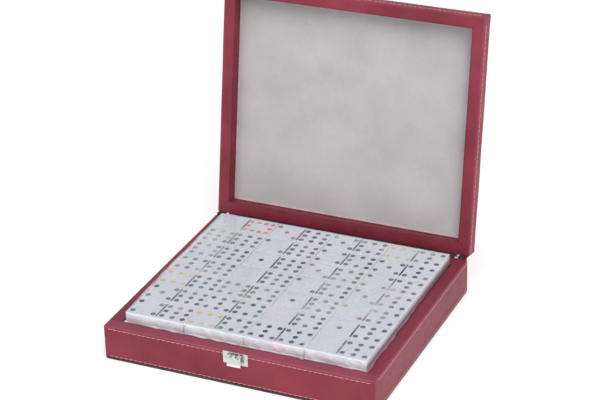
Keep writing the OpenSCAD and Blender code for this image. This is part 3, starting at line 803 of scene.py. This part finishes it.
behind = {place: len(face_points) + k for k, place in enumerate(border)}
faces = quads(rows, cols)
faces += [[a, b, behind[b], behind[a]] for a, b in zip(border, border[1:] + border[:1])]
faces.append([behind[place] for place in border])
# Along the hems the nap is painted pale and pink: partly rubbed, partly a painted highlight with a painted
# reflection of the red leatherette.
rubbed_and_lit_hem = HEM_RUB_AND_LIGHT * hump(from_edge - 0.5, HEM_RUB_AND_LIGHT_W) * (0.8 + 0.5 * ripple(x / 6, y / 6, 31))
rubbed_and_lit_hem = np.concatenate([rubbed_and_lit_hem.ravel().clip(0, 1), np.full(len(border), 0.5)])
# It is darker by the front, down both sides and a little over the front half: painted shade from the recess's
# walls, with some nap pressed flat.
from_front, from_hinge = y - panel_low[1], panel_high[1] - y
pressed_and_shaded_share = FRONT_PRESS_AND_SHADE * hump(from_front, FRONT_PRESS_AND_SHADE_W)
pressed_and_shaded_share += FIELD_PRESS_AND_SHADE * np.clip(1 - from_front / FIELD_PRESS_AND_SHADE_L, 0, 1)
pressed_and_shaded_share += RIGHT_PRESS_AND_SHADE * hump(panel_x - x, RIGHT_PRESS_AND_SHADE_W) * np.clip(from_hinge / RIGHT_PRESS_AND_SHADE_L, 0, 1)
pressed_and_shaded_share += LEFT_PRESS_AND_SHADE * hump(panel_x + x, LEFT_PRESS_AND_SHADE_W)
pressed_and_shaded_share = pressed_and_shaded_share.clip(0, 0.95) * np.clip(from_hinge / 12, 0.4, 1)
pressed_and_shaded_share = np.concatenate([pressed_and_shaded_share.ravel(), np.full(len(border), 0.3)])
make(
    "lid_velvet",
    opened(points),
    faces,
    velvet,
    "lid",
    ["lid_velvet_panel"],
    "velvet",
    paints={"edge": rubbed_and_lit_hem, "pressed_and_shaded": pressed_and_shaded_share},
)

# The latch is pressed from nickel-plated sheet: a back plate with two ears, a flap that turns on a pin
# between them, and a flat spring behind it. The keeper on the lid has two barbed prongs.
dress(nickel, "latch_plate", "latch_flap", "latch_pin", "keeper")
soften(0.1, "latch_plate", "latch_flap", "latch_pin", "keeper")
spring_steel, shader, rolled = mottled(
    "spring_steel", 500, 3, (0.42, 0.43, 0.45), (0.62, 0.63, 0.65), stretch=(12, 1, 1)
)
lead(spring_steel, shader, "Roughness", level(spring_steel, rolled, 0.25, 0.4))
shader.inputs["Metallic"].default_value = 1.0
dress(spring_steel, "latch_spring")

# The flat tiles are moulded from white plastic with rounded edges. Their pips and the bar across the middle
# are cut in and filled with enamel, in one colour for each number.
STACKS, TILES_IN_STACK = (1, 2, 3, 4), 7
TILE_R, TILE_ROUND, TILE_SHARPEST_R = 0.9, 3, 0.02
PIP_SIDES, PIP_R, PIP_DEPTH = 16, 2.15, 0.5
PIP_REACH_X, PIP_REACH_Y, TEN_REACH_X = 8.8, 7.3, 9.5
BAR_HALF_W, BAR_HALF_L, BAR_DEPTH = 0.8, 10.0, 0.4
PIP_WALL = ((1.0, 0.0), (0.86, 0.45), (0.55, 0.85), (0.2, 1.0))  # share of the radius, share of the depth
BAR_WALL = ((1.0, 0.0), (0.8, 0.8), (0.5, 1.0))
BAR_END = 0.05
PIP_COLOURS = {
    0: (0.030, 0.032, 0.040),
    1: (0.040, 0.075, 0.100),
    2: (0.050, 0.130, 0.105),
    3: (0.420, 0.090, 0.140),
    4: (0.095, 0.060, 0.110),
    5: (0.045, 0.100, 0.140),
    6: (0.820, 0.600, 0.110),
    7: (0.040, 0.055, 0.105),
    8: (0.045, 0.090, 0.085),
    9: (0.060, 0.065, 0.165),
    10: (0.800, 0.220, 0.130),
}

ivory, shader, cloud = mottled("tile_plastic", 35, 3, (0.66, 0.69, 0.76), (0.73, 0.75, 0.80))
lead(ivory, shader, "Roughness", level(ivory, cloud, 0.18, 0.28))
shader.inputs["Coat Weight"].default_value = 0.2


def enamel(number, colour):
    """The paint of one number's pips."""
    paint, shader, _ = mottled(f"enamel_{number}", 700, 3, tuple(c * 0.75 for c in colour), colour)
    shader.inputs["Roughness"].default_value = 0.35
    return paint


enamels = {number: enamel(number, colour) for number, colour in PIP_COLOURS.items()}


def numbers():
    """The set as it is laid out: from the tens down, one suit after another, the low half on the left."""
    laid = [(0, 10)]
    for suit in range(9, 0, -1):
        laid += [(low, suit) for low in range(suit, -1, -1)]
    return laid


def spots(number):
    """The places of a number's pips on its half, from -1 to 1 each way."""
    if number == 10:
        rows = (4, 2, 4)
    elif number >= 6:
        rows = (3, number - 6, 3)
    elif number >= 4:
        rows = (2, number - 4, 2)
    else:
        rows = (0, number % 2, 0)
    places = []
    for row, count in enumerate(rows):
        across = [0.0] if count == 1 else [-1 + 2 * k / (count - 1) for k in range(count)]
        places += [(x, row - 1) for x in across]
    return places + ([(-1, 1), (1, -1)] if number in (2, 3) else [])


def rounded_outline(half_x, half_y, radius):
    """Corner points of a flat rectangle with round corners, anticlockwise."""
    points = []
    for k, (sx, sy) in enumerate([(1, 1), (-1, 1), (-1, -1), (1, -1)]):
        middle_x, middle_y = sx * (half_x - radius), sy * (half_y - radius)
        for t in np.linspace(0, math.pi / 2, TILE_ROUND + 1) + k * math.pi / 2:
            points.append((middle_x + radius * math.cos(t), middle_y + radius * math.sin(t)))
    return points


def tile_body(half_x, half_y, height, radius):
    """Rings of a tile's rounded sides from its bottom face to its top face."""
    rings = []
    for t in np.linspace(-math.pi / 2, math.pi / 2, 2 * TILE_ROUND + 2):
        inset = radius * (1 - math.cos(t))
        z = radius + radius * math.sin(t) if t < 0 else height - radius + radius * math.sin(t)
        outline = rounded_outline(half_x - inset, half_y - inset, max(radius - inset, TILE_SHARPEST_R))
        rings.append([(x, y, z) for x, y in outline])
    return np.array(rings)


def numbered_tile(low, high, half_x, half_y, height):
    """A tile lying face up, and for each face 0 for plastic or the number of its enamel plus one."""
    rings = tile_body(half_x, half_y, height, TILE_R)
    rows, cols = rings.shape[:2]
    points = rings.reshape(-1, 3).tolist()
    faces = quads(rows, cols, False, True) + [list(range(cols))]
    parts = [0] * len(faces)
    flat = [tuple(p[:2]) for p in rings[-1]]
    chains, inks = [list(range(cols))], []
    turn = np.linspace(0, 2 * math.pi, PIP_SIDES, endpoint=False)
    for number, middle in ((low, -half_x / 2), (high, half_x / 2)):
        reach = TEN_REACH_X if number == 10 else PIP_REACH_X
        for u, v in spots(number):
            start = len(flat)
            pip_x, pip_y = middle + u * reach, v * PIP_REACH_Y
            flat += [(pip_x + PIP_R * math.cos(t), pip_y + PIP_R * math.sin(t)) for t in turn]
            chains.append(list(range(start, start + PIP_SIDES)))
            inks.append(number)
    start = len(flat)
    flat += rounded_outline(BAR_HALF_W, BAR_HALF_L, BAR_HALF_W * 0.9)
    chains.append(list(range(start, len(flat))))
    inks.append(0)
    edges = [(a, b) for chain in chains for a, b in zip(chain, chain[1:] + chain[:1])]
    out, _, tiling, _, _, _ = delaunay_2d_cdt([Vector(p) for p in flat], edges, [], 0, 1e-7)
    middles = [np.mean([flat[k] for k in chain], 0) for chain in chains[1:]]
    base = len(points)
    points += [(p.x, p.y, height) for p in out]
    for face in tiling:
        x, y = np.mean([out[k][:2] for k in face], 0)
        in_rim = abs(x) < half_x - TILE_R + 1 and abs(y) < half_y - TILE_R + 1
        in_pip = any(math.hypot(x - pip_x, y - pip_y) < PIP_R * 0.97 for pip_x, pip_y in middles[:-1])
        in_bar = abs(x) < BAR_HALF_W * 0.999 and abs(y) < BAR_HALF_L - 0.02
        if in_rim and not in_pip and not in_bar:
            faces.append([base + k for k in face])
            parts.append(0)
    for chain, middle, ink in zip(chains[1:], middles, inks):
        outline = np.array([flat[k] for k in chain]) - middle
        is_bar = chain is chains[-1]
        wall, depth = (BAR_WALL, BAR_DEPTH) if is_bar else (PIP_WALL, PIP_DEPTH)
        start = len(points)
        for shrink, drop in wall:
            ring = middle + outline * [shrink, 1 - (1 - shrink) * BAR_END if is_bar else shrink]
            points += [(x, y, height - drop * depth) for x, y in ring]
        made = quads(len(wall), len(chain), False, True) + caps(len(wall), len(chain))[1:]
        faces += [[start + i for i in face] for face in made]
        parts += [ink + 1] * len(made)
    return np.array(points), faces, parts


laid_out = numbers()
for stack in STACKS:
    solids = sorted(islands(f"stack_{stack}_top_tiles"), key=lambda points: -points[:, 1].mean())
    tiles, parts = [], []
    for row, solid in enumerate(solids):
        low, high = corners_of(solid)
        middle, half = (low + high) / 2, (high - low) / 2
        pair = laid_out[(stack - 1) * TILES_IN_STACK + row]
        form, form_faces, form_parts = numbered_tile(*pair, half[0], half[1], 2 * half[2])
        tiles.append((form + [middle[0], middle[1], low[2]], form_faces))
        parts += form_parts
    make(
        f"stack_{stack}_numbered_tiles",
        *joined(tiles),
        [ivory, *enamels.values()],
        f"stack_{stack}",
        [f"stack_{stack}_top_tiles"],
        "tile",
        sharp=35,
        parts=parts,
    )

# Under them the rest of the set stands on edge, face to face, sixteen to a stack and fifteen in the last.
# They are the same moulded tiles, and their numbers don't show.
for stack in STACKS:
    tiles = []
    for solid in islands(f"stack_{stack}_lower_tiles"):
        low, high = corners_of(solid)
        middle, half = (low + high) / 2, (high - low) / 2
        rings = tile_body(half[0], half[2], 2 * half[1], TILE_R)
        rows, cols = rings.shape[:2]
        form = rings.reshape(-1, 3)[:, [0, 2, 1]] + [middle[0], low[1], middle[2]]
        tiles.append((form, quads(rows, cols, False, True) + caps(rows, cols)))
    make(
        f"stack_{stack}_upright_tiles",
        *joined(tiles),
        ivory,
        f"stack_{stack}",
        [f"stack_{stack}_lower_tiles"],
        "tile",
        sharp=35,
    )

# Each stack is shrunk into its own clear film. The film clings to the tiles, crinkles in fine ridges, turns
# milky where it is creased, and ends in a small sealed knot low on the front beside the next stack. The
# first film stands off its stack on the left, towards the back.
FILM_STEP, FILM_R, TOP_SINK = 1.5, 0.4, 0.07
CRINKLE_H, PLEAT_H = 0.17, 0.14
SLACK_Z, SLACK_W, FRONT_OUT, SIDE_OUT = 33.5, 3.4, 0.4, 0.45
WING_OUT, WING_W, WING_SAG = 3.3, 6.0, 0.5
FOLD_Z, FOLD_W, FOLD_OUT = 30.1, 0.27, 2.5
FOLD_ROWS = (-1.6, -1.1, -0.75, -0.5, -0.3, -0.12, 0.12, 0.3, 0.5, 0.75, 1.1, 1.6)
HEM_Z, HEM_FADE = 32, 1.5
FOLD_MEAN, FOLD_WAVE, FOLD_LEAST = 0.48, 0.42, 0.2
KNOT_OUT, KNOT_IN, KNOT_R = 1.6, 1.4, 1.3
CRINKLE_MILK, PLEAT_MILK, SHOULDER_HIGHLIGHT, BESIDE_MILK = 0.12, 0.22, 0.7, 0.5
FRONT_MILK, SLANT_MILK, HEM_MILK, FOLD_CLEAR = 0.44, 0.35, 0.3, 0.35
LEFT_MILK, RIGHT_MILK, BACK_MILK, LOW_RIGHT_SHADE_MILK = 0.34, 0.20, 0.30, 0.5
# Painted shade and a painted reflection of the red case: low down, on creases and slants, and on the right.
LOW_SHADE, CREASE_SHADE, SLANT_SHADE = 0.20, 0.38, 0.08
RIGHT_SHADE, LOW_RIGHT_SHADE = 0.12, 0.80
# The broad milky patches on top: middle across and along the case, reach each way, and share of white.
CLOUDS = [
    (-86, 38, 17, 42, 0.34),
    (-60, 0, 20, 20, 0.16),
    (-42, -34, 20, 20, 0.22),
    (-62, -70, 20, 12, 0.14),
    (8, -48, 26, 18, 0.14),
    (32, 6, 20, 34, 0.24),
    (66, -22, 24, 18, 0.34),
    (84, 20, 16, 24, 0.20),
    (60, 74, 20, 12, 0.16),
]

film_finish, shader = new_finish("shrink_film")
haze = grain_at(film_finish, 55, 3)
place = wire(film_finish, "TexCoord", {}).outputs["Object"]
swirl = wire(film_finish, "TexNoise", {"Vector": place, "Scale": 38.0, "Detail": 2.0, "Distortion": 1.6})
from_line = reckoned(film_finish, "ABSOLUTE", reckoned(film_finish, "SUBTRACT", swirl.outputs["Fac"], 0.5))
line = level(film_finish, from_line, 0.16, 0.0, 0.0, 0.014)
haze = reckoned(film_finish, "SUBTRACT", haze, 0.5)
haze = reckoned(film_finish, "MULTIPLY_ADD", haze, 0.7, painted(film_finish, "milk"))
haze = reckoned(film_finish, "ADD", haze, line)
shade = wire(film_finish, "Clamp", {"Value": haze, "Min": 0.05, "Max": 0.92}).outputs["Result"]
lead(film_finish, shader, "Alpha", shade)
tint = grain_at(film_finish, 24, 2)
cast = wire(film_finish, "ValToRGB", {"Fac": tint})
green_end, pink_end = cast.color_ramp.elements
green_end.position, green_end.color = 0.36, (0.90, 0.97, 0.93, 1)
pink_end.position, pink_end.color = 0.64, (0.98, 0.91, 0.97, 1)
cast.color_ramp.elements.new(0.5).color = (0.91, 0.94, 1.0, 1)
# The shaded paint lays painted shade and a painted reflection of the red case over the film's tint.
film_colour = mixed(film_finish, painted(film_finish, "shaded"), cast.outputs["Color"], (0.33, 0.15, 0.20, 1))
lead(film_finish, shader, "Base Color", film_colour)
shader.inputs["Roughness"].default_value = 0.2
shader.inputs["Specular IOR Level"].default_value = 0.8
lead(film_finish, shader, "Normal", relief(film_finish, grain_at(film_finish, 170, 2), 0.00006))


def rounded_shell(low, high, radius, step, rows):
    """A closed box with round edges and a grid on every face, and the way out at each point."""
    middle, half = (low + high) / 2, (high - low) / 2
    lines = []
    for axis in range(3):
        line = np.linspace(-half[axis], half[axis], max(4, round(2 * half[axis] / step)) + 1)
        extra = [radius / 2 - half[axis], half[axis] - radius / 2]
        if axis == 2:
            extra += [row - middle[2] for row in rows]
        lines.append(np.unique(np.concatenate([line, extra])))
    sides = []
    for axis in range(3):
        a, b = [k for k in range(3) if k != axis]
        for side in (-1, 1):
            p = np.zeros((len(lines[a]), len(lines[b]), 3))
            p[..., a], p[..., b], p[..., axis] = lines[a][:, None], lines[b][None, :], side * half[axis]
            sides.append((p.reshape(-1, 3), quads(len(lines[a]), len(lines[b]))))
    points, faces = joined(sides)
    core = np.clip(points, -(half - radius), half - radius)
    way = points - core
    way /= np.linalg.norm(way, axis=1, keepdims=True)
    return core + way * radius + middle, way, faces


def ridges(u, v, seed, sharp):
    """Sharp-crested unevenness, from 0 between the creases to 1 on them."""
    return (1 - np.abs(ripple(u, v, seed))).clip(0) ** sharp


for stack in STACKS:
    low, high = corners_of(solid_points(f"stack_{stack}_film"))
    high[2] -= TOP_SINK
    points, way, faces = rounded_shell(low, high, FILM_R, FILM_STEP, [FOLD_Z + row for row in FOLD_ROWS])
    x, y, z = points[:, 0], points[:, 1], points[:, 2]
    on_right, on_back, on_top = way.clip(0, 1).T
    on_left, on_front = (-way[:, :2]).clip(0, 1).T
    from_end = np.minimum(y - low[1], high[1] - y)
    # The top crinkles between the tiles, and pleats run in from both ends.
    u = x / 16 + 0.35 * ripple(x / 25, y / 25, 40 + stack)
    v = y / 16 + 0.35 * ripple(x / 25, y / 25, 50 + stack)
    crinkle = ridges(u, v, 60 + stack, 5) + 0.4 * ridges(u * 2.3, v * 2.3, 70 + stack, 4)
    pleat = hump(from_end, 8) * ridges(x / 3.2, y / 30, 80 + stack, 3)
    slant = ridges((x + y) / 12 + z / 7, z / 11 - x / 25, 90 + stack, 2)
    push = on_top * (CRINKLE_H * crinkle + PLEAT_H * pleat)
    # The front hangs a little slack, and its fold lies on the case's rim.
    slack, fold = hump(z - SLACK_Z, SLACK_W), hump(z - FOLD_Z, FOLD_W)
    bulge = slack * (0.3 + 0.7 * slant)
    lying = (FOLD_MEAN + FOLD_WAVE * ripple(x / 9, y / 9, 110 + stack)).clip(FOLD_LEAST, 1)
    push += on_front * (FRONT_OUT * bulge + FOLD_OUT * fold * lying)
    if stack == 1:
        loose = np.clip((y - low[1] - 6) / 60, 0, 1) ** 0.7 * (0.87 + 0.13 * ripple(y / 17, z / 20, 95))
        wing = loose * np.clip(1 - (x - low[0]) / WING_W, 0, 1) ** 2 * np.clip((z - 26) / 9, 0, 1)
        points[:, 0] -= WING_OUT * wing
        points[:, 2] -= WING_SAG * wing * on_top
        push += on_left * FOLD_OUT * fold * (0.2 + lying)
    if stack == 4:
        near = np.clip((45 - y) / 60, 0, 1)
        push += on_right * near * (SIDE_OUT * bulge + FOLD_OUT * fold * lying)
    if stack < 4:
        push += KNOT_OUT * hump(x - high[0] + KNOT_IN, KNOT_R) * fold * on_front
    points = points + way * push[:, None]
    # The film is milky in broad patches, on its creases, over the tiles' edges at the sides and where it lies
    # double, and a painted highlight whitens its rounded top edges at front and back.
    cover = 0.10 + 0.08 * ripple(x / 42 + 0.4 * ripple(x / 15, y / 15, 9), y / 34, 100 + stack)
    uneven = 1 + 0.3 * ripple(x / 11, y / 11, 140)
    for mid_x, mid_y, reach_x, reach_y, share in CLOUDS:
        cover += share * hump(x - mid_x, reach_x) * hump(y - mid_y, reach_y) * uneven
    cover += on_top * (CRINKLE_MILK * crinkle + PLEAT_MILK * pleat)
    hem = np.clip((HEM_Z - z) / HEM_FADE, 0, 1)
    cover += on_front * (FRONT_MILK + SLANT_MILK * slant + HEM_MILK * hem - FOLD_CLEAR * fold)
    cover += LEFT_MILK * on_left + RIGHT_MILK * on_right + BACK_MILK * on_back
    # A painted highlight makes the film white along its rounded top edges at front and back.
    shoulder_highlight = np.clip(1 - np.abs(np.abs(way[:, 2]) - 0.7) / 0.5, 0, 1) * (on_front + on_back)
    beside = hump(np.minimum(x - low[0], high[0] - x), 0.9) * on_top
    # Painted shade and a painted reflection of the red rim make the lower right side dark red and more
    # opaque.
    low_right_shade = np.clip((high[2] - 2.6 - z) / 2.5, 0, 1) * on_right
    cover += SHOULDER_HIGHLIGHT * shoulder_highlight + BESIDE_MILK * beside + LOW_RIGHT_SHADE_MILK * low_right_shade
    # Painted shade and a painted reflection of the red case darken it low down on the sides that show.
    low_down = np.clip((high[2] - 2.2 - z) / 5, 0, 1) * np.clip((z - 24) / 5, 0.2, 1)
    crease = ridges((x - 0.6 * y) / 17 + z / 8, z / 13 + x / 40, 120 + stack, 3)
    shaded = on_front * ((LOW_SHADE + CREASE_SHADE * crease) * low_down + SLANT_SHADE * slant)
    shaded += RIGHT_SHADE * on_right + LOW_RIGHT_SHADE * low_right_shade
    make(
        f"stack_{stack}_wrap",
        points,
        faces,
        film_finish,
        f"stack_{stack}",
        [f"stack_{stack}_film"],
        "film",
        paints={"milk": cover.clip(0.02, 0.92), "shaded": shaded.clip(0, 0.92)},
    )

# The setting is a plain pale floor under a pale sky that is brightest at the horizon.
# Three soft lamps light the case: one from the right, one low from the left, and one from above.
FLOOR_REACH = 6
floor = bpy.data.objects.new("floor", bpy.data.meshes.new("floor"))
floor_corners = [(sx * FLOOR_REACH, sy * FLOOR_REACH, 0) for sx, sy in ((-1, -1), (1, -1), (1, 1), (-1, 1))]
floor.data.from_pydata(floor_corners, [], [(0, 1, 2, 3)])
bpy.context.scene.collection.objects.link(floor)
paper, shader = new_finish("floor_paper")
shader.inputs["Base Color"].default_value = (0.93, 0.93, 0.93, 1)
shader.inputs["Roughness"].default_value = 0.9
shader.inputs["Emission Color"].default_value = (1, 1, 1, 1)
shader.inputs["Emission Strength"].default_value = 0.38
floor.data.materials.append(paper)

sky = bpy.data.worlds.new("sky")
bpy.context.scene.world = sky
sky.use_nodes = True
background = sky.node_tree.nodes["Background"]
upward = wire(sky, "SeparateXYZ", {"Vector": wire(sky, "TexCoord", {}).outputs["Generated"]}).outputs["Z"]
lead(sky, background, "Strength", level(sky, upward, 1.0, 0.3, 0.2, 0.6))
background.inputs["Color"].default_value = (0.97, 0.98, 1, 1)
bpy.context.scene.view_settings.view_transform = "Standard"


def lamp(name, place, size, power):
    """A soft square lamp that faces the case."""
    made = bpy.data.objects.new(name, bpy.data.lights.new(name, "AREA"))
    made.data.size, made.data.energy = size, power
    made.location = place
    made.rotation_euler = Vector(place).to_track_quat("Z", "Y").to_euler()
    bpy.context.scene.collection.objects.link(made)


lamp("key_lamp", (1.0, -1.0, 1.7), 0.9, 12)
lamp("side_lamp", (-0.6, -1.7, 0.7), 1.3, 4.5)
lamp("top_lamp", (0.2, -0.3, 2.0), 1.4, 12)
